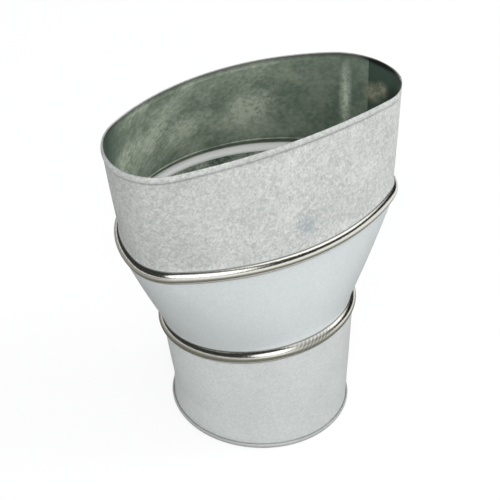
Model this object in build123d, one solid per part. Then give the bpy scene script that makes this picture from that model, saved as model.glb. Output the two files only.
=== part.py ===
from build123d import *
import math
import os

# Oval-to-round duct adapter in galvanised sheet steel, open right through, in millimetres.
# Three rolled sheets, one above the other: a round collar, a tapered transition and an oval collar.
# Each upper sheet's lower bead is nested in the bead of the sheet below it, which locks the two.
# The origin is the centre of the round collar's lower edge, +Z runs up the round bore's axis,
# and +X runs along the oval's long axis, towards the lap seams.

# Sheet
SHEET = 0.5
NEST_CLEARANCE = 0.06

# Round collar: a 4 in duct bore
ROUND_BORE_RADIUS = 50.8
ROUND_STRAIGHT_HEIGHT = 18.0
FOOT_HEM_HEIGHT = 3.0
FOOT_HEM_SWELL = 0.6
FOOT_NECK = 1.0
FOOT_CORNER = 0.25

# Lower bead: a round ring whose plane leans
LOWER_BEAD_RADIUS = 55.1
LOWER_BEAD_X = -2.3
LOWER_BEAD_Y = 2.7
LOWER_BEAD_HEIGHT = 66.3
LOWER_BEAD_TILT = 9.0
LOWER_BEAD_UPHILL = -64.0

# Upper bead: a level oval, deeper at the far side than at the near side. A span is half the distance
# between a side's two end arcs' centres, and a crown is how far its side arc rises above those arcs
UPPER_BEAD_HALF_LENGTH = 84.4
UPPER_BEAD_FAR_SPAN = 20.9
UPPER_BEAD_FAR_CROWN = 6.9
UPPER_BEAD_NEAR_SPAN = 59.9
UPPER_BEAD_NEAR_CROWN = 16.9
UPPER_BEAD_X = -0.6
UPPER_BEAD_HEIGHT = 127.9

# Both beads
BEAD_HEIGHT = 7.4
BEAD_RISE = 2.4
BEAD_LIP = 0.5
BEAD_NECK = 1.0
NESTED_NECK = 0.6

# Oval rim
RIM_HALF_LENGTH = 90.1
RIM_FAR_SPAN = 53.1
RIM_FAR_CROWN = 12.9
RIM_NEAR_SPAN = 63.9
RIM_NEAR_CROWN = 5.9
RIM_X = -7.0
RIM_HEIGHT = 197.8
RIM_HEM_HEIGHT = 4.0
RIM_HEM_SWELL = 0.25
HEM_GAP = 0.1
HEM_RAW_EDGE = 0.5

# Lap seams, at the oval's +X end, given as distances along Y from the long axis
LAP_OUTER_EDGE = -11.4
LAP_INNER_EDGE = 16.0
LAP_JOGGLE = 3.0
LAP_SLIT = 0.4
LAP_SLIT_END = 1.0
HEM_NOTCH_WIDTH = 11.3


class Ring:
    """A closed outline of tangent arcs, each given by centre, radius and the directions it spans."""

    def __init__(self, place, arcs):
        self.place = place
        self.arcs = arcs

    def outline(self, growth, height):
        """The outline moved outwards by growth and up by height, as one closed wire."""
        edges = []
        for centre, radius, start, end in self.arcs:
            points = []
            for angle in (start, (start + end) / 2, end):
                reach = Vector(math.cos(angle), math.sin(angle)) * (radius + growth)
                points.append(centre + reach)
            edges.append(ThreePointArc(*points))
        return self.place * Pos(0, 0, height) * Wire(edges)

    def end_height(self, y, height):
        """How high a level of the ring stands at its +X end, at a distance y from the long axis."""
        centre, radius, _, _ = self.arcs[0]
        return (self.place * Pos(centre.X + radius, y, height)).position.Z

    def carry(self, profile):
        """A profile, x outwards and y up, carried once round the outline."""
        upright = Plane.XZ * profile
        sectors = []
        for centre, radius, start, end in self.arcs:
            turned = revolve(Pos(radius, 0, 0) * upright, Axis.Z, math.degrees(end - start))
            sectors.append(self.place * Pos(*centre) * Rot(0, 0, math.degrees(start)) * turned)
        return Part() + sectors


def oval_ring(place, half_length, far_side, near_side):
    """An oval of six arcs: on each side, given by (span, crown), two end arcs and a side arc."""
    sides = []
    for half_span, crown in (far_side, near_side):
        end_radius = half_length - half_span
        # The side arc touches both end arcs, which fixes how far its centre lies past the long axis
        setback = (half_span**2 - crown**2) / (2 * crown)
        side_radius = end_radius + crown + setback
        sides.append((half_span, end_radius, setback, side_radius, math.atan2(setback, half_span)))
    far, near = sides
    arcs = []
    for side, sign, turn in ((far, 1, 0), (near, -1, math.pi)):
        half_span, end_radius, setback, side_radius, shoulder = side
        first_end = Vector(sign * half_span, 0)
        last_end = Vector(-sign * half_span, 0)
        side_centre = Vector(0, -sign * setback)
        arcs.append((first_end, end_radius, turn, turn + shoulder))
        arcs.append((side_centre, side_radius, turn + shoulder, turn + math.pi - shoulder))
        arcs.append((last_end, end_radius, turn + math.pi - shoulder, turn + math.pi))
    return Ring(place, arcs)


def round_ring(place, radius, partner):
    """A circle cut into arcs that span the same directions as those of the ring it is joined to."""
    return Ring(place, [(Vector(0, 0), radius, start, end) for _, _, start, end in partner.arcs])


def wall(lower, lower_level, upper, upper_level):
    """A sheet wall drawn straight from one ring to the next; a level is (outer growth, height)."""
    lower_growth, lower_height = lower_level
    upper_growth, upper_height = upper_level
    skins = []
    for inset in (0, SHEET):
        bottom = lower.outline(lower_growth - inset, lower_height)
        top = upper.outline(upper_growth - inset, upper_height)
        skins.append(Solid.make_loft([bottom, top], ruled=True))
    return skins[0] - skins[1]


def lap_zone(first_y, last_y, low=0, high=RIM_HEIGHT):
    """The stretch of the +X end between two distances along Y and two heights."""
    middle = Pos(RIM_HALF_LENGTH / 2, (first_y + last_y) / 2, (low + high) / 2)
    return middle * Box(RIM_HALF_LENGTH, last_y - first_y, high - low)


def lapped_wall(lower, lower_level, upper, upper_level, ply_growth, slit_low, slit_high):
    """A wall whose sheet ends overlap: one end's edge is a slit, backed by a ply of the other end."""
    base = wall(lower, lower_level, upper, upper_level)
    slit_near = LAP_OUTER_EDGE - LAP_SLIT / 2
    slit_far = LAP_OUTER_EDGE + LAP_SLIT / 2
    slit = lap_zone(slit_near, slit_far, slit_low, slit_high)
    lower_growth, lower_height = lower_level
    upper_growth, upper_height = upper_level
    ply_low = (lower_growth + ply_growth, lower_height)
    ply_high = (upper_growth + ply_growth, upper_height)
    ply = wall(lower, ply_low, upper, ply_high)
    return base - slit + (ply & lap_zone(LAP_OUTER_EDGE - LAP_JOGGLE, LAP_INNER_EDGE))


def bead_profile(outer_growth, reach_up, reach_down):
    """Section of one sheet at a bead: a lip or neck, a round roll, and a lip or neck."""
    half = BEAD_HEIGHT / 2
    roll_radius = (BEAD_RISE**2 + half**2) / (2 * BEAD_RISE)
    roll_centre = BEAD_RISE - roll_radius
    faces = []
    for growth in (outer_growth, outer_growth - SHEET):
        radius = roll_radius + growth
        meets = math.sqrt(radius**2 - (growth - roll_centre) ** 2)
        faces.append((growth, meets, roll_centre + radius))
    (outer, outer_meets, outer_crest), (inner, inner_meets, inner_crest) = faces
    top = half + reach_up
    bottom = -half - reach_down
    edges = [
        Line((outer, bottom), (outer, -outer_meets)),
        ThreePointArc((outer, -outer_meets), (outer_crest, 0), (outer, outer_meets)),
        Line((outer, outer_meets), (outer, top)),
        Line((outer, top), (inner, top)),
        Line((inner, top), (inner, inner_meets)),
        ThreePointArc((inner, inner_meets), (inner_crest, 0), (inner, -inner_meets)),
        Line((inner, -inner_meets), (inner, bottom)),
        Line((inner, bottom), (outer, bottom)),
    ]
    return make_face(edges)


def rim_hem_profile():
    """Section of the oval rim: the wall turns over outwards and comes down as an open, swollen hem."""
    fold_radius = SHEET + HEM_GAP / 2
    shoulder = -fold_radius
    bottom = -RIM_HEM_HEIGHT
    raw = bottom + HEM_RAW_EDGE
    ply_outside = HEM_GAP + SHEET
    swell = Vector(RIM_HEM_SWELL, 0)
    middle = (raw + shoulder) / 2
    edges = [
        Line((0, bottom), (-SHEET, bottom)),
        Line((-SHEET, bottom), (-SHEET, shoulder)),
        ThreePointArc((-SHEET, shoulder), (HEM_GAP / 2, 0), (ply_outside, shoulder)),
        ThreePointArc((ply_outside, shoulder), swell + (ply_outside, middle), (ply_outside, raw)),
        Line((ply_outside, raw), (HEM_GAP, raw)),
        ThreePointArc((HEM_GAP, raw), swell + (HEM_GAP, middle), (HEM_GAP, shoulder)),
        Line((HEM_GAP, shoulder), (0, shoulder)),
        Line((0, shoulder), (0, bottom)),
    ]
    return make_face(edges)


def rim_notch_profile():
    """Section of all that lies outside the rim's inner ply."""
    clear = HEM_GAP + 2 * SHEET + RIM_HEM_SWELL
    corners = [
        (0, -RIM_HEM_HEIGHT),
        (0, SHEET),
        (clear, SHEET),
        (clear, -RIM_HEM_HEIGHT),
    ]
    return make_face(Polyline(*corners, close=True))


def round_foot_profile():
    """Section of the round collar's foot: a flat-bottomed open hem that swells outwards, and a neck."""
    bore = ROUND_BORE_RADIUS
    outside = bore + SHEET
    ply_inside = outside + HEM_GAP
    ply_outside = ply_inside + SHEET
    corner = FOOT_CORNER
    middle = (SHEET + FOOT_HEM_HEIGHT) / 2
    swell = Vector(FOOT_HEM_SWELL, 0)
    top = FOOT_HEM_HEIGHT + FOOT_NECK
    edges = [
        Line((bore, top), (bore, corner)),
        Line((bore, corner), (bore + corner, 0)),
        Line((bore + corner, 0), (ply_outside - corner, 0)),
        Line((ply_outside - corner, 0), (ply_outside, corner)),
        Line((ply_outside, corner), (ply_outside, SHEET)),
        ThreePointArc(
            (ply_outside, SHEET), swell + (ply_outside, middle), (ply_outside, FOOT_HEM_HEIGHT)
        ),
        Line((ply_outside, FOOT_HEM_HEIGHT), (ply_inside, FOOT_HEM_HEIGHT)),
        ThreePointArc(
            (ply_inside, FOOT_HEM_HEIGHT), swell + (ply_inside, middle), (ply_inside, SHEET)
        ),
        Line((ply_inside, SHEET), (outside, SHEET)),
        Line((outside, SHEET), (outside, top)),
        Line((outside, top), (bore, top)),
    ]
    return make_face(edges)


# Rings, from the ground up
upper_bead = oval_ring(
    Pos(UPPER_BEAD_X, 0, UPPER_BEAD_HEIGHT),
    UPPER_BEAD_HALF_LENGTH,
    (UPPER_BEAD_FAR_SPAN, UPPER_BEAD_FAR_CROWN),
    (UPPER_BEAD_NEAR_SPAN, UPPER_BEAD_NEAR_CROWN),
)
rim = oval_ring(
    Pos(RIM_X, 0, RIM_HEIGHT),
    RIM_HALF_LENGTH,
    (RIM_FAR_SPAN, RIM_FAR_CROWN),
    (RIM_NEAR_SPAN, RIM_NEAR_CROWN),
)
uphill = Rot(0, 0, LOWER_BEAD_UPHILL)
lower_bead_centre = Pos(LOWER_BEAD_X, LOWER_BEAD_Y, LOWER_BEAD_HEIGHT)
lower_bead_place = lower_bead_centre * uphill * Rot(0, -LOWER_BEAD_TILT, 0) * uphill.inverse()
lower_bead = round_ring(lower_bead_place, LOWER_BEAD_RADIUS, upper_bead)
foot_top = round_ring(
    Pos(0, 0, FOOT_HEM_HEIGHT + FOOT_NECK), ROUND_BORE_RADIUS + SHEET, upper_bead
)
straight_top = round_ring(Pos(0, 0, ROUND_STRAIGHT_HEIGHT), ROUND_BORE_RADIUS + SHEET, upper_bead)

# Levels on a bead ring where the walls take over
half_bead = BEAD_HEIGHT / 2
below_bead = -half_bead - BEAD_NECK
above_lip = half_bead + BEAD_LIP
nested = -SHEET - NEST_CLEARANCE

outer_bead_section = bead_profile(0, BEAD_LIP, BEAD_NECK)
nested_bead_section = bead_profile(nested, BEAD_LIP, NESTED_NECK)
hem_notch_zone = lap_zone(LAP_OUTER_EDGE - HEM_NOTCH_WIDTH, LAP_OUTER_EDGE, high=2 * RIM_HEIGHT)
hem_notch = rim.carry(rim_notch_profile()) & hem_notch_zone

# Each slit stops short of the levels where its wall ends
round_slit_high = lower_bead.end_height(LAP_OUTER_EDGE, below_bead) - LAP_SLIT_END
taper_slit_low = lower_bead.end_height(LAP_OUTER_EDGE, above_lip) + LAP_SLIT_END
taper_slit_high = UPPER_BEAD_HEIGHT + below_bead - LAP_SLIT_END
oval_slit_low = UPPER_BEAD_HEIGHT + above_lip + LAP_SLIT_END
oval_slit_high = RIM_HEIGHT - RIM_HEM_HEIGHT - LAP_SLIT_END

round_straight = lapped_wall(
    foot_top, (0, 0), straight_top, (0, 0), SHEET,
    FOOT_HEM_HEIGHT + FOOT_NECK + LAP_SLIT_END, ROUND_STRAIGHT_HEIGHT + LAP_SLIT_END,
)
round_cone = lapped_wall(
    straight_top, (0, 0), lower_bead, (0, below_bead), SHEET,
    ROUND_STRAIGHT_HEIGHT - LAP_SLIT_END, round_slit_high,
)
round_foot = revolve(Plane.XZ * round_foot_profile(), Axis.Z)
round_collar = round_foot + round_straight + round_cone + lower_bead.carry(outer_bead_section)

taper = lapped_wall(
    lower_bead, (nested, above_lip), upper_bead, (0, below_bead), -SHEET,
    taper_slit_low, taper_slit_high,
)
transition = (
    lower_bead.carry(nested_bead_section) + taper + upper_bead.carry(outer_bead_section)
)

oval_wall = lapped_wall(
    upper_bead, (nested, above_lip), rim, (0, -RIM_HEM_HEIGHT), -SHEET,
    oval_slit_low, oval_slit_high,
)
oval_hem = rim.carry(rim_hem_profile()) - hem_notch
oval_collar = upper_bead.carry(nested_bead_section) + oval_wall + oval_hem

os.makedirs("parts", exist_ok=True)
for name, solid in (
    ("round_collar", round_collar),
    ("transition", transition),
    ("oval_collar", oval_collar),
):
    export_step(solid, f"parts/{name}.step")
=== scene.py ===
"""Oval-to-round duct adapter in galvanised sheet steel, standing on a white floor."""
import math

import bpy
import numpy as np
from mathutils import Matrix, Vector


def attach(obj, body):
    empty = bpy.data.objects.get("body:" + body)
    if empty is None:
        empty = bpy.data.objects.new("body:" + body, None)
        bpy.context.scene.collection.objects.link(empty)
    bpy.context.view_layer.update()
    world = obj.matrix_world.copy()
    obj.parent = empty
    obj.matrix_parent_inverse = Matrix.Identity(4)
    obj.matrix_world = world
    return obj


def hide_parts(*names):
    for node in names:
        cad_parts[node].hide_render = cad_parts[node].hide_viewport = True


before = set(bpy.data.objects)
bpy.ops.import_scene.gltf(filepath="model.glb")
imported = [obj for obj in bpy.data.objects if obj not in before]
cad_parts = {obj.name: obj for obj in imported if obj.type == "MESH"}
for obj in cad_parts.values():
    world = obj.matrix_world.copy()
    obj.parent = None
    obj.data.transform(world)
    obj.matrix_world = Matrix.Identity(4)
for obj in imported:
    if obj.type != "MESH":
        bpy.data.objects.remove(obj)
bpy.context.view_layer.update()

MM = 0.001

# Sheet, in millimetres as all sizes of the object
SHEET = 0.5
NEST_CLEARANCE = 0.06
NESTED = -SHEET - NEST_CLEARANCE

# Round collar
ROUND_OUTER_RADIUS = 51.3
ROUND_STRAIGHT_HEIGHT = 18.0
FOOT_HEM_HEIGHT = 3.0
FOOT_HEM_SWELL = 0.6

# Lower bead, with its tilt and the direction that it rises in as degrees
LOWER_BEAD_RADIUS = 55.1
LOWER_BEAD_CENTRE = (-2.3, 2.7, 66.3)
LOWER_BEAD_TILT = 9.0
LOWER_BEAD_UPHILL = -64.0

# Upper bead and rim: half length, then each side's span and crown, then the centre
UPPER_BEAD_OVAL = (84.4, (20.9, 6.9), (59.9, 16.9))
UPPER_BEAD_CENTRE = (-0.6, 0, 127.9)
RIM_OVAL = (90.1, (53.1, 12.9), (63.9, 5.9))
RIM_CENTRE = (-7.0, 0, 197.8)

# Both beads
BEAD_HEIGHT = 7.4
HALF_BEAD = BEAD_HEIGHT / 2
BEAD_RISE = 2.4
BEAD_LIP = 0.5
BEAD_NECK = 1.0
NESTED_NECK = 0.6
BEAD_FILLET = 0.6

# Hems
RIM_HEM_HEIGHT = 4.0
RIM_HEM_SWELL = 0.25
HEM_GAP = 0.1
HEM_RAW_EDGE = 0.5

# Lap seams at the oval's +X end, as distances along Y from the long axis
LAP_OUTER_EDGE = -11.4
LAP_JOGGLE = 3.0
LAP_INNER_EDGE = 16.0
LAP_PLY_EDGE = 0.25
LAP_GROOVE_WIDTH = 0.45
LAP_GROOVE_DEPTH = 0.4
HEM_NOTCH_WIDTH = 11.3
HEM_NOTCH_SIDE = 0.3
HEM_NOTCH_LEFT = 0.04

# How far the walls belly out between their rings
CONE_BELLY = 0.1
TAPER_BELLY = 0.7
OVAL_BELLY = 0.3

# How a nested wall's foot flares over the lip that holds it
FOOT_FLARE = 0.5
FLARE_REACH = 1.4
FLARE_SHARES = (0.0008, 0.002, 0.004, 0.007, 0.011, 0.016, 0.022)

# How deep the painted shade in the hems' creases is marked, and how far below the rim this painted shade
# fades out on the wall
EDGE_SHADE = 0.5
FOOT_SHADE = 0.42
RIM_INNER_SHADE = 1.0
RIM_SHADE_RISE = 1.0

# Marks on every point: which face it is on, how deep in a crease, which sets its painted shade, and
# how far on a roll, which sets the beads' polish outside and the groove's painted highlight inside
MARKS = ("inside", "crease", "bead")
CREASE_PAST_ROLL = 0.15
CREASE_WIDTH = 0.45
ROLLED_FADE = (-0.2, 0.4)
# Inside, the groove's lower half gets a painted highlight and its upper half painted shade, faded over
# these heights
GROOVE_LIGHT_FADE = (-0.7, 0.5)
GROOVE_DARK_FADE = (-0.5, 0.7)
GROOVE_DARK_END = (-0.3, 0.4)

# Columns round each sheet: a count for each of a ring's six arcs, the seam's and the hidden ply's
# own columns, and closer ones beside these two, as nearest, farthest and count
PLAIN_COLUMNS = (56, 96, 56, 48, 120, 40)
SEAM_COLUMN = 5.5
PLY_COLUMN = 0.3
SEAM_SPREADS = ((0.0015, 0.02, 10), (0.03, 0.1, 6))
SEAM_SAMPLES = 400

# Rows up each wall, with more at its ends, and points on each stretch of a section
WALL_ROWS = 12
END_SHARES = (0.975, 0.983, 0.989, 0.994, 0.998)
STRAIGHT_WALL_ROWS = 14
STRAIGHT_WALL_START = 0.3
NECK_POINTS = 4
ROLL_POINTS = 22
FILLET_POINTS = 6
EDGE_POINTS = 5
FOLD_POINTS = 13
FOOT_PLY_POINTS = 9
RIM_PLY_POINTS = 8
RIM_GAP_POINTS = 5
RIM_INNER_POINTS = 7

# How far a cut edge stands out, as a share of a half circle
LIP_BULGE = 0.2
NESTED_BULGE = -0.3
FOOT_RAW_BULGE = 0.3
RIM_RAW_BULGE = -0.4


class Ring:
    """Six tangent arcs in one plane. A place on it is u from 0 to 6: the arc's number and the share
    of that arc's angle that is past."""

    def __init__(self, arcs, place):
        self.arcs = np.array(arcs)
        self.place = np.array(place)

    def points(self, u, growth, height):
        """centre of the arc + (radius + growth) along the direction, lifted by height, then placed."""
        number = np.minimum(u.astype(int), 5)
        centre_x, centre_y, radius, start, end = np.moveaxis(self.arcs[number], -1, 0)
        angle = start + (u - number) * (end - start)
        reach = radius + growth
        x = centre_x + reach * np.cos(angle)
        y = centre_y + reach * np.sin(angle)
        local = np.stack([x, y, height + 0 * x], axis=-1)
        return local @ self.place[:3, :3].T + self.place[:3, 3]

    def seam_place(self, y, first, last):
        """The u between first and last whose point lies at a distance y from the long axis."""
        u = np.linspace(first, last - 1e-6, SEAM_SAMPLES)
        ys = self.points(u, 0 * u, 0 * u)[:, 1]
        return float(np.interp(y, ys, u))


def oval_arcs(half_length, far_side, near_side):
    """Each side is two end arcs, a span from the middle, and a side arc that rises a crown above
    them. It touches both, so its centre lies (span squared - crown squared) / (2 crown) past the
    long axis."""
    arcs = []
    for (span, crown), sign, turn in ((far_side, 1, 0), (near_side, -1, math.pi)):
        end_radius = half_length - span
        setback = (span**2 - crown**2) / (2 * crown)
        side_radius = end_radius + crown + setback
        shoulder = math.atan2(setback, span)
        arcs.append((sign * span, 0, end_radius, turn, turn + shoulder))
        arcs.append((0, -sign * setback, side_radius, turn + shoulder, turn + math.pi - shoulder))
        arcs.append((-sign * span, 0, end_radius, turn + math.pi - shoulder, turn + math.pi))
    return arcs


def round_arcs(radius, partner):
    """A circle cut at the directions where the partner's arcs meet."""
    return [(0, 0, radius, start, end) for _, _, _, start, end in partner]


upper_arcs = oval_arcs(*UPPER_BEAD_OVAL)
uphill = Matrix.Rotation(math.radians(LOWER_BEAD_UPHILL), 4, "Z")
tilt = Matrix.Rotation(math.radians(-LOWER_BEAD_TILT), 4, "Y")
lower_place = Matrix.Translation(LOWER_BEAD_CENTRE) @ uphill @ tilt @ uphill.inverted()
upper_bead = Ring(upper_arcs, Matrix.Translation(UPPER_BEAD_CENTRE))
rim = Ring(oval_arcs(*RIM_OVAL), Matrix.Translation(RIM_CENTRE))
lower_bead = Ring(round_arcs(LOWER_BEAD_RADIUS, upper_arcs), lower_place)
ground = Ring(round_arcs(ROUND_OUTER_RADIUS, upper_arcs), Matrix.Identity(4))


def columns():
    """u of each column: evenly spaced on each arc, and packed close on both sides of the seams."""
    spread = np.concatenate([np.linspace(*stretch) for stretch in SEAM_SPREADS])
    parts = []
    for number, count in enumerate(PLAIN_COLUMNS):
        parts.append(np.linspace(number, number + 1, count, endpoint=False))
    for seam in (SEAM_COLUMN, PLY_COLUMN):
        parts += [[seam], seam + spread, seam - spread]
    return np.unique(np.round(np.concatenate(parts), 6))


def warped(columns_u, seam_u, ply_u):
    """The same columns with the seam column moved to seam_u and the ply column to ply_u, and the
    columns between them and the arcs' ends spread in proportion."""
    return np.interp(columns_u, [0, PLY_COLUMN, 1, 5, SEAM_COLUMN, 6], [0, ply_u, 1, 5, seam_u, 6])


def arc(centre_g, centre_h, radius, first, last, count):
    """Section points at a radius round a centre, the angle going evenly from first to last."""
    angle = np.linspace(math.radians(first), math.radians(last), count)
    return np.stack([centre_g + radius * np.cos(angle), centre_h + radius * np.sin(angle)], axis=1)


def line(first, last, count):
    """Section points spaced evenly on a straight line."""
    return np.linspace(first, last, count)


def half_round(first, last, bulge_h):
    """Points of a half circle between two section points, which rises by a share bulge_h of its
    radius, or falls where the share is negative."""
    first, last = np.array(first), np.array(last)
    angle = np.linspace(0, math.pi, EDGE_POINTS)[1:-1, None]
    bulge = np.array([0, bulge_h]) * np.linalg.norm(last - first) / 2
    middle = (first + last) / 2
    return middle + (first - middle) * np.cos(angle) + bulge * np.sin(angle)


def bead_section(face, reach_up, reach_down):
    """Growth and height up one face of a bead, the face standing at a growth: a straight neck, a
    hollow fillet, the round roll, a hollow fillet and a straight lip. The fillet circles touch both
    the straight line and the roll."""
    roll = (BEAD_RISE**2 + HALF_BEAD**2) / (2 * BEAD_RISE)
    centre = BEAD_RISE - roll
    fillet = BEAD_FILLET - face
    radius = roll + face
    fillet_height = math.sqrt((radius + fillet) ** 2 - (fillet + face - centre) ** 2)
    meets = math.degrees(math.atan2(fillet_height, fillet + face - centre))
    return np.concatenate([
        line((face, -HALF_BEAD - reach_down), (face, -fillet_height), NECK_POINTS)[:-1],
        arc(fillet + face, -fillet_height, fillet, 180, 180 - meets, FILLET_POINTS)[:-1],
        arc(centre, 0, radius, -meets, meets, ROLL_POINTS)[:-1],
        arc(fillet + face, fillet_height, fillet, 180 + meets, 180, FILLET_POINTS)[:-1],
        line((face, fillet_height), (face, HALF_BEAD + reach_up), NECK_POINTS),
    ])


def bead_marks(section, inside=False):
    """Per point the marks inside, crease and bead. Outside, crease is a bell curve round the height
    where the roll starts, painted shade for the dark line there, and bead is 1 on the roll and falls to
    0 past it. Inside, crease covers the groove's upper half with painted shade, and bead its lower half
    and the neck below it with a painted highlight."""
    height = section[:, 1] if inside else np.abs(section[:, 1])
    past_roll = height - HALF_BEAD
    if inside:
        bead = 1 - smooth_step(height, *GROOVE_LIGHT_FADE)
        crease = smooth_step(height, *GROOVE_DARK_FADE)
        crease = crease * (1 - smooth_step(past_roll, *GROOVE_DARK_END))
    else:
        first, last = ROLLED_FADE
        crease = np.exp(-(((past_roll - CREASE_PAST_ROLL) / CREASE_WIDTH) ** 2))
        bead = 1 - np.clip((past_roll - first) / (last - first), 0, 1)
    return np.stack([0 * height, crease, bead], axis=1)


class Skin:
    """Part of a sheet's surface as rows of points, each row a closed loop of columns."""

    def __init__(self):
        self.rows = []
        self.marks = []

    def on(self, ring, section, marks=None):
        """Adds rows on one ring at a section's growths and heights."""
        self.between(ring, section, ring, section, np.zeros(len(section)), 0, marks)

    def between(self, ring_a, section_a, ring_b, section_b, share, swell, marks=None):
        """Adds rows that lie the given share of the way from ring a's points to ring b's and a
        swell outwards. The seam keeps its distance from the long axis on each row."""
        seams = []
        for ring in (ring_a, ring_b):
            outer_u = ring.seam_place(LAP_OUTER_EDGE, 5, 6)
            inner_u = ring.seam_place(LAP_INNER_EDGE, 0, 1)
            seams.append((outer_u, inner_u))
        base = columns()
        lower_seam, upper_seam = np.array(seams)
        u = np.array([warped(base, *(lower_seam * (1 - t) + upper_seam * t)) for t in share])
        share = np.asarray(share)[:, None]
        section_a = np.broadcast_to(section_a, (len(share), 2))
        section_b = np.broadcast_to(section_b, (len(share), 2))
        swell = np.broadcast_to(np.asarray(swell)[..., None], (len(share), 1))
        a = ring_a.points(u, section_a[:, :1] + swell, section_a[:, 1:])
        b = ring_b.points(u, section_b[:, :1] + swell, section_b[:, 1:])
        self.rows.append(a + (b - a) * share[..., None])
        self.marks.append(np.zeros((len(share), len(MARKS))) if marks is None else marks)

    def add(self, other, turned=False, inside=False):
        """Adds another skin's rows, turned to run the other way and marked as inside if asked."""
        rows = np.concatenate(other.rows)
        marks = np.concatenate(other.marks).copy()
        if inside:
            marks[:, 0] = 1
        self.rows.append(rows[::-1] if turned else rows)
        self.marks.append(marks[::-1] if turned else marks)


def wall_shares(more=()):
    """Shares from 0 to 1, packed towards both ends by a cosine, without the ends themselves."""
    even = (0.5 - 0.5 * np.cos(np.linspace(0, math.pi, WALL_ROWS + 2)))[1:-1]
    return np.unique(np.concatenate([more, even]))


def belly(depth, share):
    """depth sin(pi share)."""
    return depth * np.sin(math.pi * share)


def smooth_step(value, first, last):
    """0 below first, 1 above last and 3t² - 2t³ between them."""
    t = np.clip((value - first) / (last - first), 0, 1)
    return t * t * (3 - 2 * t)


def outward(points):
    """The horizontal direction away from the sheet at each column: the loop's tangent turned 90°."""
    tangent = np.roll(points, -1, axis=1) - np.roll(points, 1, axis=1)
    side = np.stack([tangent[..., 1], -tangent[..., 0], 0 * tangent[..., 0]], axis=-1)
    return side / np.maximum(np.linalg.norm(side, axis=-1, keepdims=True), 1e-9)


def ply_share(points):
    """1 where the hidden ply lies at the +X end, with its joggle before it and its edge after it."""
    y = points[..., 1]
    joggle = smooth_step(y, LAP_OUTER_EDGE - LAP_JOGGLE, LAP_OUTER_EDGE)
    past = smooth_step(y, LAP_INNER_EDGE - LAP_PLY_EDGE, LAP_INNER_EDGE)
    return joggle * (1 - past) * (points[..., 0] > 0)


def lapped(points, inside, ply_inside):
    """The lap at the +X end: the seen sheet end is a narrow groove in the outer face, and the hidden
    ply is a step of one sheet thickness on the face that carries it."""
    y = points[..., 1]
    at_end = points[..., 0] > 0
    on_ply = ply_share(points)
    groove = np.exp(-(((y - LAP_OUTER_EDGE) / LAP_GROOVE_WIDTH) ** 4)) * LAP_GROOVE_DEPTH
    inner = inside[:, None] > 0
    if ply_inside:
        move = np.where(inner, -SHEET * on_ply, -groove)
    else:
        move = np.where(inner, 0, SHEET * on_ply / 2 - groove)
    return points + outward(points) * (move * at_end)[..., None]


def sheet_piece(name, node, skin, ply_inside):
    """A closed tube of quads through all of a skin's rows, the last joined to the first, which
    stands for a CAD node."""
    points = np.concatenate(skin.rows)
    marks = np.concatenate(skin.marks)
    points = lapped(points, marks[:, 0], ply_inside)
    row_count, column_count = points.shape[:2]
    row = np.arange(row_count)[:, None]
    column = np.arange(column_count)[None, :]
    next_row = (row + 1) % row_count
    next_column = (column + 1) % column_count
    corners = [
        row * column_count + column,
        row * column_count + next_column,
        next_row * column_count + next_column,
        next_row * column_count + column,
    ]
    quads = np.stack(corners, axis=-1).reshape(-1, 4)
    mesh = bpy.data.meshes.new(name)
    mesh.from_pydata((points.reshape(-1, 3) * MM).tolist(), [], quads.tolist())
    mesh.shade_smooth()
    per_point = [np.repeat(values, column_count) for values in marks.T] + [ply_share(points).ravel()]
    for label, values in zip((*MARKS, "ply"), per_point):
        layer = mesh.attributes.new(label, "FLOAT", "POINT")
        layer.data.foreach_set("value", values.astype(np.float32))
    piece = bpy.data.objects.new(name, mesh)
    bpy.context.scene.collection.objects.link(piece)
    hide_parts(node)
    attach(piece, "root")
    return piece


def round_face(inset):
    """The round collar's face: the straight wall, the leaning cone and the outer bead."""
    skin = Skin()
    low = SHEET if inset == 0 else 0.0
    start = (-inset, low + STRAIGHT_WALL_START)
    skin.on(ground, line(start, (-inset, ROUND_STRAIGHT_HEIGHT), STRAIGHT_WALL_ROWS))
    bead = bead_section(-inset, BEAD_LIP, BEAD_NECK)
    top = (-inset, ROUND_STRAIGHT_HEIGHT)
    share = wall_shares()
    skin.between(ground, top, lower_bead, bead[0], share, belly(CONE_BELLY, share))
    skin.on(lower_bead, bead, bead_marks(bead, inset > 0))
    return skin


def foot_fold():
    """Down the inside of the open hem, round its raw edge, down its swollen outside and round the
    fold to the bore: the part of the closed section that lies below both faces."""
    ply = HEM_GAP + SHEET
    rise = np.linspace(0, 1, FOOT_PLY_POINTS)
    swell = FOOT_HEM_SWELL * np.sin(math.pi * rise)
    heights = SHEET + (FOOT_HEM_HEIGHT - SHEET) * rise
    gap = np.stack([HEM_GAP + swell, heights], axis=1)
    outside = np.stack([ply + swell, heights], axis=1)[::-1]
    fold_radius = (ply + SHEET) / 2
    fold = arc((ply - SHEET) / 2, SHEET, fold_radius, 0, -180, FOLD_POINTS)
    fold[:, 1] = SHEET + (fold[:, 1] - SHEET) * SHEET / fold_radius
    raw = half_round(gap[-1], outside[0], FOOT_RAW_BULGE)
    section = np.concatenate([gap, raw, outside, fold[1:-1]])
    marks = np.zeros((len(section), len(MARKS)))
    # Painted shade: full in the hem's gap and on its raw edge, lighter on the outer ply
    marks[: len(gap) + len(raw), 1] = 1
    marks[len(gap) + len(raw) :, 1] = FOOT_SHADE
    skin = Skin()
    skin.on(ground, section, marks)
    return skin


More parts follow.
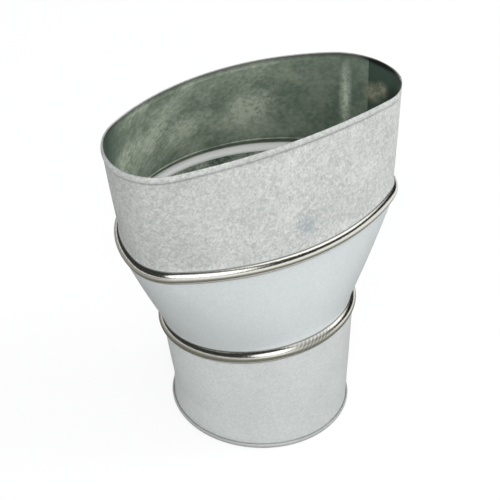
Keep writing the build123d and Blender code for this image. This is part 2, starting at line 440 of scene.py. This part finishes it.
def nested_face(inset, low_ring, high_ring, high_point, depth, shaded_top=False):
    """A nested sheet's face: the nested bead and the wall up to a point of the next ring's section.
    The wall's foot flares by FOOT_FLARE exp(-(rise / FLARE_REACH)²)."""
    skin = Skin()
    bead = bead_section(NESTED - inset, BEAD_LIP, NESTED_NECK)
    skin.on(low_ring, bead, bead_marks(bead, inset > 0))
    share = wall_shares(FLARE_SHARES + END_SHARES)
    rise = share * (high_ring.place[2, 3] - low_ring.place[2, 3])
    flare = FOOT_FLARE * np.exp(-((rise / FLARE_REACH) ** 2))
    marks = np.zeros((len(share), len(MARKS)))
    # Painted shade on the outer wall just below the rim, fading down the wall
    if shaded_top:
        marks[:, 1] = EDGE_SHADE * np.exp(-(((rise[-1] - rise) / RIM_SHADE_RISE) ** 2))
    swell = belly(depth, share) + flare
    skin.between(low_ring, bead[-1], high_ring, high_point, share, swell, marks)
    return skin


def raw_edge(ring, first, last, bulge_h):
    """A sheet's cut edge, slightly rounded, between two section points."""
    skin = Skin()
    skin.on(ring, half_round(first, last, bulge_h))
    return skin


def rim_section():
    """Growth and height up the hem's gap, round its raw edge, up its swollen outer ply, over the fold
    and down the inner face, with the marks of each point."""
    fold_radius = SHEET + HEM_GAP / 2
    shoulder = -fold_radius
    bottom = -RIM_HEM_HEIGHT
    raw = bottom + HEM_RAW_EDGE
    rise = np.linspace(0, 1, RIM_PLY_POINTS)
    swell = RIM_HEM_SWELL * np.sin(math.pi * rise)
    heights = raw + (shoulder - raw) * rise
    gap_up = line((0, bottom), (0, shoulder), RIM_PLY_POINTS)
    gap_top = arc(HEM_GAP / 2, shoulder, HEM_GAP / 2, 180, 0, RIM_GAP_POINTS)[1:-1]
    gap_down = np.stack([HEM_GAP + swell, heights], axis=1)[::-1]
    ply_up = np.stack([HEM_GAP + SHEET + swell, heights], axis=1)
    edge = half_round(gap_down[-1], ply_up[0], RIM_RAW_BULGE)
    over = arc(HEM_GAP / 2, shoulder, fold_radius, 0, 180, FOLD_POINTS)[1:-1]
    inner_down = line((-SHEET, shoulder), (-SHEET, bottom), RIM_INNER_POINTS)
    section = np.concatenate([gap_up, gap_top, gap_down, edge, ply_up, over, inner_down])
    marks = np.zeros((len(section), len(MARKS)))
    edge_start = len(gap_up) + len(gap_top) + len(gap_down)
    # Painted shade: full in the hem's gap, lighter on the raw edge, rising over the fold onto the inner
    # face and fading down it
    marks[:edge_start, 1] = 1
    marks[edge_start : edge_start + len(edge), 1] = EDGE_SHADE
    fold_start = edge_start + len(edge) + len(ply_up)
    marks[fold_start : fold_start + len(over), 1] = np.linspace(0, 1, len(over)) ** 2 * RIM_INNER_SHADE
    marks[-len(inner_down) :, 1] = np.linspace(1, 0, len(inner_down)) * RIM_INNER_SHADE
    marks[-len(inner_down) :, 0] = 1
    return section, marks


def notched(points, section):
    """The hem cut away next to the lap: between the notch's sides every point of the outer ply is
    drawn in to the wall, but for a small share of its growth."""
    y = points[..., 1]
    first = LAP_OUTER_EDGE - HEM_NOTCH_WIDTH
    last = LAP_OUTER_EDGE
    side = HEM_NOTCH_SIDE
    cut = smooth_step(y, first, first + side) * (1 - smooth_step(y, last - side, last))
    growth = np.maximum(section[:, :1], 0)
    move = -growth * (1 - HEM_NOTCH_LEFT) * cut * (points[..., 0] > 0)
    return points + outward(points) * move[..., None]


# Round collar: outer face up, over the lip's edge, inner face down, round the fold and up the gap
lip_top = HALF_BEAD + BEAD_LIP
round_skin = Skin()
round_skin.add(round_face(0.0))
round_skin.add(raw_edge(lower_bead, (0, lip_top), (-SHEET, lip_top), LIP_BULGE))
round_skin.add(round_face(SHEET), turned=True, inside=True)
round_skin.add(foot_fold(), turned=True)

# Transition: nested bead, wall and outer bead, over the lip's edge and back down
nested_low = -HALF_BEAD - NESTED_NECK
transition_skin = Skin()
for inset in (0.0, SHEET):
    outer_bead = bead_section(-inset, BEAD_LIP, BEAD_NECK)
    face = nested_face(inset, lower_bead, upper_bead, outer_bead[0], TAPER_BELLY)
    face.on(upper_bead, outer_bead, bead_marks(outer_bead, inset > 0))
    transition_skin.add(face, turned=inset > 0, inside=inset > 0)
    if inset == 0:
        transition_skin.add(raw_edge(upper_bead, (0, lip_top), (-SHEET, lip_top), LIP_BULGE))
nested_edge = ((NESTED - SHEET, nested_low), (NESTED, nested_low), NESTED_BULGE)
transition_skin.add(raw_edge(lower_bead, *nested_edge))

# Oval collar: its outer face runs on over the turned rim to the inner face
hem_section, hem_marks = rim_section()
hem = Skin()
hem.on(rim, hem_section, hem_marks)
hem.rows = [notched(hem.rows[0], hem_section)]
oval_skin = Skin()
oval_skin.add(nested_face(0.0, upper_bead, rim, hem_section[0], OVAL_BELLY, shaded_top=True))
oval_skin.add(hem)
oval_skin.add(nested_face(SHEET, upper_bead, rim, hem_section[-1], OVAL_BELLY), turned=True, inside=True)
oval_skin.add(raw_edge(upper_bead, *nested_edge))

round_piece = sheet_piece("round_collar_sheet", "round_collar", round_skin, False)
transition_piece = sheet_piece("transition_sheet", "transition", transition_skin, True)
oval_piece = sheet_piece("oval_collar_sheet", "oval_collar", oval_skin, True)


class Value:
    """A socket in a node tree, with Python's operators for the Math node's operations."""

    def __init__(self, tree, socket):
        self.tree = tree
        self.socket = socket

    def math(self, operation, *others, clamp=False):
        """A Math node's result on this value and the others, which are values or numbers."""
        node = self.tree.nodes.new("ShaderNodeMath")
        node.operation = operation
        node.use_clamp = clamp
        for slot_socket, value in zip(node.inputs, (self, *others)):
            if isinstance(value, Value):
                self.tree.links.new(value.socket, slot_socket)
            else:
                slot_socket.default_value = value
        return Value(self.tree, node.outputs[0])

    def __add__(self, other):
        return self.math("ADD", other)

    def __sub__(self, other):
        return self.math("SUBTRACT", other)

    def __mul__(self, other):
        return self.math("MULTIPLY", other)

    def __rsub__(self, other):
        return (self * -1.0).math("ADD", other)

    __radd__ = __add__
    __rmul__ = __mul__

    def ramp(self, low, high):
        """The value spread so that low becomes 0 and high becomes 1, and clamped."""
        return ((self - low) * (1 / (high - low))).math("ADD", 0.0, clamp=True)


class Shader:
    """The node tree of a material or world, which makes any node from its type and sockets."""

    def __init__(self, owner):
        owner.use_nodes = True
        self.tree = owner.node_tree
        self.tree.nodes.clear()

    def node(self, kind, settings=None, **sockets):
        """A node; a key names an input, or a number after an underscore picks it by its place."""
        made = self.tree.nodes.new("ShaderNode" + kind)
        for key, value in (settings or {}).items():
            setattr(made, key, value)
        for key, value in sockets.items():
            if key[1:].isdigit():
                socket = made.inputs[int(key[1:])]
            else:
                label = key.replace("_", " ")
                socket = next(s for s in made.inputs if s.name == label and s.enabled)
            if isinstance(value, Value):
                value = value.socket
            if isinstance(value, bpy.types.NodeSocket):
                self.tree.links.new(value, socket)
            else:
                socket.default_value = value
        return made

    def value(self, node, output):
        """A node's output to count with."""
        return Value(self.tree, node.outputs[output])

    def noise(self, scale, detail, roughness):
        """Noise from 0 to 1 on the piece's own coordinates; scale is in cells per metre."""
        place = self.node("TexCoord").outputs["Object"]
        made = self.node("TexNoise", Vector=place, Scale=scale, Detail=detail, Roughness=roughness)
        return self.value(made, "Fac")

    def mix(self, share, first, second):
        """The colour that lies a share of the way from first to second."""
        return self.node("Mix", {"data_type": "RGBA"}, _0=share, _6=first, _7=second).outputs[2]

    def near(self, place, reach, stretch=(1, 1, 1)):
        """1 at a place in millimetres on the piece, falling to 0 at a reach, the distance counted
        with its three parts stretched."""
        own = self.node("TexCoord").outputs["Object"]
        scaled = self.node("Mapping", Vector=own, Scale=stretch).outputs[0]
        centre = [part * MM * share for part, share in zip(place, stretch)]
        gap = self.node("VectorMath", {"operation": "DISTANCE"}, _0=scaled, _1=centre)
        return self.value(gap, "Value").ramp(reach * MM, NEAR_CORE * reach * MM)

    def own(self, axis):
        """One of the piece's own coordinates, in metres."""
        return self.value(self.node("SeparateXYZ", _0=self.node("TexCoord").outputs["Object"]), axis)

    def attribute(self, name):
        """A mark on the mesh's points."""
        return self.value(self.node("Attribute", {"attribute_name": name}), "Fac")

    def ray(self, *kinds):
        """1 for rays of any of the kinds, else 0."""
        path = self.node("LightPath")
        total = self.value(path, kinds[0])
        for kind in kinds[1:]:
            total = total + self.value(path, kind)
        return total.ramp(0, 1)


def srgb(red, green, blue):
    """A colour given as it looks on the screen, 0 to 255, as linear light."""
    linear = []
    for part in (red, green, blue):
        share = part / 255
        linear.append(share / 12.92 if share <= 0.04045 else ((share + 0.055) / 1.055) ** 2.4)
    return (*linear, 1.0)


# Colours of the zinc coat, and of the painted light and shade laid on it
OILED_DARK = srgb(153, 170, 151)
OILED_LIGHT = srgb(246, 255, 234)
# Dark inside tone, painted shade: the base of the round and middle pieces' insides, and the dark ends of
# the oval collar's inside
INSIDE_DEEP_SHADE = srgb(80, 99, 88)
# Cream patches inside the oval collar's +X end
CREAM_PATCH = srgb(196, 190, 166)
SMUDGED = srgb(160, 170, 174)
# Painted shade in the creases of the beads, on the hems' edges and at the rim's inner edge
CREASE_SHADE = srgb(70, 70, 62)
# Polished zinc of the outer beads, its warm cream tint a painted reflection
ROLLED_CREAM_SHEEN = srgb(240, 239, 230)
# Painted highlight in the lower half of the inner groove
GROOVE_HIGHLIGHT = srgb(252, 253, 250)
# Painted shade at the oval collar's +X end, on the rim and low on the inside
RIM_END_SHADE = srgb(28, 34, 30)
# Painted shade for the stripes on the lower bead's crimps
CRIMP_SHADE = srgb(158, 160, 153)

# Share of the reach of each painted light, painted shade, smudge and patch below within which it is full
NEAR_CORE = 0.15

# Painted light, painted shade, a smudge and patches in millimetres: each has a place, a reach and,
# where they differ, a share or a stretch
SMUDGE = ((0, -38.5, 146), 10)
# Painted light: blotches of light on the inside of the oval collar
LIT_BLOTCHES = (
    ((27, 57, 160), 19, 0.95),
    ((-38, 54, 166), 26, 0.55),
    ((-62, 44, 160), 19, 0.5),
    ((-12, 60, 158), 18, 0.6),
)
# A band of painted light on the far inside wall
LIT_BAND = ((72.5, 28, 165), 4.5)
BAND_STRETCH = (1, 1, 0.12)
# Cream patches inside the +X end
CREAM_PATCHES = (((81, 13, 176), 8), ((82, 6, 181), 6))
# Painted shade at the +X end: on the rim and low on the inside
RIM_END_SHADOWS = (((85, 8, 199), 18, (1, 1, 3.6)), ((84, -10, 176), 15, (1, 1, 1)))

# Where painted shade darkens the inside along X in millimetres, first and last, and by how much, and
# how much it darkens the inside over the hidden ply
DARK_RIGHT = (28, 70)
DARK_RIGHT_SHARE = 0.6
DARK_LEFT = (-86, -68)
DARK_LEFT_SHARE = 1.1
DARK_PLY_SHARE = 0.45

# Painted shade stripes across the crimps of the lower bead, also rougher: place, reach and pitch in
# millimetres, and slant
CRIMP_STRIPES = ((-1, -53, 75), 19, 2.4, 0.9)
CRIMP_EDGE = 1.3
CRIMP_SHADE_SHARE = 0.7
CRIMP_ROUGHNESS = 0.3

# Grain of the coat: detail and roughness of the fine grain, the flakes and the clouds, the flakes'
# share of the grain's cells and the clouds' cells per metre
NOISE_RANGE = (0.36, 0.64)
FINE_NOISE = (2.0, 0.6)
FLAKE_NOISE = (3.0, 0.7)
CLOUD_NOISE = (3.0, 0.55)
FLAKE_GRAIN = 0.45
CLOUD_CELLS = 45

# What each grain adds to the pale coat's dark share, the inside coat's light share and the ragged
# edges of the painted light and shade, the smudge and the patches
PALE_FINE = 0.45
PALE_FLAKE = 0.35
PALE_CLOUD = 0.2
OILED_START = -0.15
OILED_FLAKE = 0.4
OILED_CLOUD = 0.5
RAGGED_START = 0.2
RAGGED_FINE = 0.6
RAGGED_FLAKE = 0.5
BUMP_CLOUD = 2.0

# How strongly the patches, the smudge and the painted shade show, and how the coat takes the light
CREAM_PATCH_SHARE = 0.9
SMUDGE_SHARE = 0.8
CREASE_SHADE_SHARE = 0.75
RIM_END_SHADE_SHARE = 1.5
COAT_METALLIC = 0.3
ROLLED_METALLIC = 0.7
COAT_ROUGHNESS = 0.42
FINE_ROUGHNESS = 0.05
ROLLED_SMOOTHING = 0.28
BUMP_STRENGTH = 0.06
BUMP_DISTANCE = 0.2 * MM


def galvanised(name, light, dark, speckle, grain, marked=False, crimp_shaded=False):
    """Zinc coat: pale outside with a fine speckle, greener and darker inside with broad blotches, the
    darkness partly painted shade. Polished on the beads, their warm tint a painted reflection, with a
    painted highlight in the inner groove and painted shade in the creases and on the hems. speckle is
    the share of contrast and grain its cells per metre; marked adds the oval collar's painted light
    and shade inside, its cream patches and a smudge, and the last flag slanting painted shade stripes
    along the crimps on the front of the lower bead."""
    material = bpy.data.materials.new(name)
    s = Shader(material)
    inside = s.attribute("inside")
    crease = s.attribute("crease")
    bead = s.attribute("bead")
    fine = s.noise(grain, *FINE_NOISE).ramp(*NOISE_RANGE)
    flake = s.noise(grain * FLAKE_GRAIN, *FLAKE_NOISE).ramp(*NOISE_RANGE)
    cloud = s.noise(CLOUD_CELLS, *CLOUD_NOISE).ramp(*NOISE_RANGE)
    speckled = (fine * PALE_FINE + flake * PALE_FLAKE + cloud * PALE_CLOUD) * speckle
    zinc = s.mix(speckled, light, dark)
    light_share = cloud * OILED_CLOUD + flake * OILED_FLAKE + OILED_START
    if marked:
        ragged = RAGGED_START + flake * RAGGED_FLAKE + fine * RAGGED_FINE
        # Painted light: the blotches and the band
        for place, reach, share in LIT_BLOTCHES:
            light_share = light_share + s.near(place, reach) * ragged * share
        light_share = light_share + s.near(*LIT_BAND, BAND_STRETCH) * ragged
    inside_coat_light_and_shade = s.mix(light_share.ramp(0, 1), OILED_DARK if marked else INSIDE_DEEP_SHADE, OILED_LIGHT)
    if marked:
        # Painted shade inside, darker towards both ends along X and over the hidden ply
        across = s.own("X") * (1 / MM)
        right = across.ramp(*DARK_RIGHT) * (1 - s.near(*LIT_BAND, BAND_STRETCH))
        left = 1 - across.ramp(*DARK_LEFT)
        deep = right * DARK_RIGHT_SHARE + left * DARK_LEFT_SHARE + s.attribute("ply") * DARK_PLY_SHARE
        inside_coat_light_and_shade = s.mix(deep.ramp(0, 1), inside_coat_light_and_shade, INSIDE_DEEP_SHADE)
        # Cream patches inside the +X end
        for place, reach in CREAM_PATCHES:
            cream_patch = s.near(place, reach) * ragged * CREAM_PATCH_SHARE
            inside_coat_light_and_shade = s.mix(cream_patch.ramp(0, 1), inside_coat_light_and_shade, CREAM_PATCH)
        smudge = s.near(*SMUDGE) * ragged * SMUDGE_SHARE
        zinc = s.mix(smudge.ramp(0, 1), zinc, SMUDGED)
    coat = s.mix(inside, zinc, inside_coat_light_and_shade)
    # Polished beads outside with a painted cream tint, and a painted highlight in the inner groove
    burnished_and_highlit = s.mix(bead, coat, s.mix(inside, ROLLED_CREAM_SHEEN, GROOVE_HIGHLIGHT))
    # Painted shade wherever the crease mark is set
    with_painted_shade = s.mix(crease * CREASE_SHADE_SHARE, burnished_and_highlit, CREASE_SHADE)
    if marked:
        # Painted shade at the +X end, on the inside and on the crease-marked hem
        for spot in RIM_END_SHADOWS:
            end_shade = s.near(*spot) * (inside + crease) * RIM_END_SHADE_SHARE
            with_painted_shade = s.mix(end_shade.ramp(0, 1), with_painted_shade, RIM_END_SHADE)
    roughness = COAT_ROUGHNESS + fine * FINE_ROUGHNESS - bead * ROLLED_SMOOTHING
    # Painted shade stripes along the lower bead's crimps, which are rougher too
    if crimp_shaded:
        place, reach, pitch, slant = CRIMP_STRIPES
        along = s.own("X") - s.own("Z") * slant
        wave = (along * (2 * math.pi / (pitch * MM))).math("SINE") * 0.5 + 0.5
        crimp = (s.near(place, reach) * CRIMP_EDGE).ramp(0, 1) * bead * (1 - inside)
        with_painted_shade = s.mix(crimp * wave * CRIMP_SHADE_SHARE, with_painted_shade, CRIMP_SHADE)
        roughness = roughness + crimp * CRIMP_ROUGHNESS
    height = fine + cloud * BUMP_CLOUD
    bump = s.node("Bump", Strength=BUMP_STRENGTH, Distance=BUMP_DISTANCE, Height=height)
    surface = s.node(
        "BsdfPrincipled",
        Base_Color=with_painted_shade,
        Metallic=COAT_METALLIC + bead * (ROLLED_METALLIC - inside),
        Roughness=roughness,
        Normal=bump.outputs[0],
    )
    s.node("OutputMaterial", Surface=surface.outputs[0])
    return material


lower_zinc = galvanised(
    "lower_zinc",
    light=srgb(236, 239, 237),
    dark=srgb(198, 203, 201),
    speckle=0.7,
    grain=1100,
    crimp_shaded=True,
)
middle_zinc = galvanised(
    "middle_zinc", light=srgb(218, 223, 222), dark=srgb(196, 202, 202), speckle=0.6, grain=1100
)
upper_zinc = galvanised(
    "upper_zinc",
    light=srgb(227, 228, 224),
    dark=srgb(156, 161, 158),
    speckle=0.8,
    grain=700,
    marked=True,
)
round_piece.data.materials.append(lower_zinc)
transition_piece.data.materials.append(middle_zinc)
oval_piece.data.materials.append(upper_zinc)

# Floor, in metres: to the camera mostly glowing white, and matt white for the rest, which keeps the
# object's shadow. In metal it carries a painted shadow, dark near the object, and glows white farther
# off, most of all ahead.
FLOOR_REACH = 3.0
FLOOR_GLOW = 0.8
FLOOR_IN_METAL = 0.85
PAPER = (0.8, 0.8, 0.8, 1)
PAPER_SEEN = (1, 1, 1, 1)
# Dark paper seen in metal: the colour of the painted shadow near the object
PAPER_IN_METAL = (0.17, 0.165, 0.14, 1)
FLOOR_SHADOW_REACH = (0.16, 0.36)
FLOOR_AHEAD = (-0.35, 0.15)
AHEAD_X = 0.8
AHEAD_Y = -0.6
GLOW_BEHIND = 0.2
corner = FLOOR_REACH
floor_mesh = bpy.data.meshes.new("floor")
floor_mesh.from_pydata(
    [(-corner, -corner, 0), (corner, -corner, 0), (corner, corner, 0), (-corner, corner, 0)],
    [],
    [(0, 1, 2, 3)],
)
floor = bpy.data.objects.new("floor", floor_mesh)
bpy.context.scene.collection.objects.link(floor)
paper = bpy.data.materials.new("paper")
s = Shader(paper)
metal_ray = s.ray("Is Glossy Ray", "Is Transmission Ray")
camera_ray = s.ray("Is Camera Ray")
shade = s.mix(metal_ray, s.mix(camera_ray, PAPER, PAPER_SEEN), PAPER_IN_METAL)
matt = s.node("BsdfDiffuse", Color=shade)
bright = s.node("Emission", Color=(1, 1, 1, 1), Strength=1.0)
on_floor = s.node("TexCoord").outputs["Object"]
away = s.value(s.node("VectorMath", {"operation": "LENGTH"}, _0=on_floor), "Value")
ahead = s.own("X") * AHEAD_X + s.own("Y") * AHEAD_Y
# Painted shadow in metal: no glow near the object, so the dark paper shows there
lit = away.ramp(*FLOOR_SHADOW_REACH) * (ahead.ramp(*FLOOR_AHEAD) * (1 - GLOW_BEHIND) + GLOW_BEHIND)
glow = camera_ray * FLOOR_GLOW + metal_ray * lit * FLOOR_IN_METAL
blend = s.node("MixShader", _0=glow, _1=matt.outputs[0], _2=bright.outputs[0])
s.node("OutputMaterial", Surface=blend.outputs[0])
floor_mesh.materials.append(paper)

# World: white to the camera. In metal it is white up to the horizon, with a dark ceiling, two bright
# boxes in it and a dark gap at the side. Otherwise it is soft, slightly blue light.
SOFT_LIGHT = (0.95, 0.97, 1.0, 1)
SOFT_STRENGTH = 0.72
WHITE_TOP = 0.0
CEILING_BOTTOM = 0.16
CEILING = 0.03
FRONT_BOX = ((-0.29, -0.79, 0.54), (20, 27))
TOP_BOX = ((0.52, -0.10, 0.85), (25, 32))
BOX_STRENGTH = 1.5
GAP_TOWARDS = (0.97, 0.04, 0.21)
GAP_ANGLES = (12, 28)
GAP_LEFT = 0.03
world = bpy.data.worlds.new("studio")
bpy.context.scene.world = world
s = Shader(world)
direction = s.node("TexCoord").outputs["Generated"]


def patch(towards, angles):
    """1 in a round patch of the sky, falling to 0 between two angles in degrees from its middle."""
    unit = Vector(towards).normalized()
    dot = s.value(s.node("VectorMath", {"operation": "DOT_PRODUCT"}, _0=direction, _1=unit), "Value")
    core, rim_angle = angles
    return dot.ramp(math.cos(math.radians(rim_angle)), math.cos(math.radians(core)))


rise = s.value(s.node("SeparateXYZ", _0=direction), "Z")
box = (patch(*FRONT_BOX) + patch(*TOP_BOX)).ramp(0, 1)
dark = rise.ramp(WHITE_TOP, CEILING_BOTTOM) * (1 - box)
open_share = (1 - dark * (1 - CEILING)) * (1 - patch(GAP_TOWARDS, GAP_ANGLES) * (1 - GAP_LEFT))
open_share = open_share + box * (BOX_STRENGTH - 1)
plain = s.node("Background", Color=(1, 1, 1, 1), Strength=1.0)
studio = s.node("Background", Color=(1, 1, 1, 1), Strength=open_share)
soft = s.node("Background", Color=SOFT_LIGHT, Strength=SOFT_STRENGTH)
metal = s.node(
    "MixShader",
    _0=s.ray("Is Glossy Ray", "Is Transmission Ray"),
    _1=soft.outputs[0],
    _2=studio.outputs[0],
)
whole = s.node("MixShader", _0=s.ray("Is Camera Ray"), _1=metal.outputs[0], _2=plain.outputs[0])
s.node("OutputWorld", Surface=whole.outputs[0])


# Lamps, in metres: two soft boxes that don't show in metal
LAMP_WIDTH = 0.9
LAMP_HEIGHT = 0.6
LAMP_TARGET = (0, 0, 0.1)
KEY_PLACE = (-0.75, -0.9, 1.1)
KEY_WATTS = 9
FILL_PLACE = (1.15, -0.5, 1.0)
FILL_WATTS = 8.5


def soft_box(name, place, watts):
    """An area lamp at a place in metres that faces the target."""
    lamp = bpy.data.lights.new(name, "AREA")
    lamp.shape = "RECTANGLE"
    lamp.size = LAMP_WIDTH
    lamp.size_y = LAMP_HEIGHT
    lamp.energy = watts
    holder = bpy.data.objects.new(name, lamp)
    holder.location = place
    holder.rotation_euler = (Vector(LAMP_TARGET) - Vector(place)).to_track_quat("-Z", "Y").to_euler()
    holder.visible_glossy = False
    bpy.context.scene.collection.objects.link(holder)


soft_box("key", KEY_PLACE, KEY_WATTS)
soft_box("fill", FILL_PLACE, FILL_WATTS)

# Camera at the photograph's angle
AZIMUTH = math.radians(-34.57)
ELEVATION = math.radians(36.79)
ROLL = math.radians(1.48)
CAMERA_TARGET = Vector((-6.41, 5.10, 103.71)) * MM
CAMERA_DISTANCE = 1011.74 * MM
FOCAL_PIXELS = 1784
PHOTO_PIXELS = 500
SENSOR = 36
back = Vector((
    math.sin(AZIMUTH) * math.cos(ELEVATION),
    -math.cos(AZIMUTH) * math.cos(ELEVATION),
    math.sin(ELEVATION),
))
right = Vector((math.cos(AZIMUTH), math.sin(AZIMUTH), 0))
up = back.cross(right)
rolled_right = right * math.cos(ROLL) + up * math.sin(ROLL)
rolled_up = up * math.cos(ROLL) - right * math.sin(ROLL)
camera_data = bpy.data.cameras.new("camera")
camera_data.sensor_width = SENSOR
camera_data.lens = FOCAL_PIXELS / PHOTO_PIXELS * SENSOR
camera = bpy.data.objects.new("camera", camera_data)
axes = Matrix((rolled_right, rolled_up, back)).transposed().to_4x4()
camera.matrix_world = Matrix.Translation(CAMERA_TARGET + back * CAMERA_DISTANCE) @ axes
bpy.context.scene.collection.objects.link(camera)
bpy.context.scene.camera = camera

bpy.context.scene.view_settings.view_transform = "Standard"
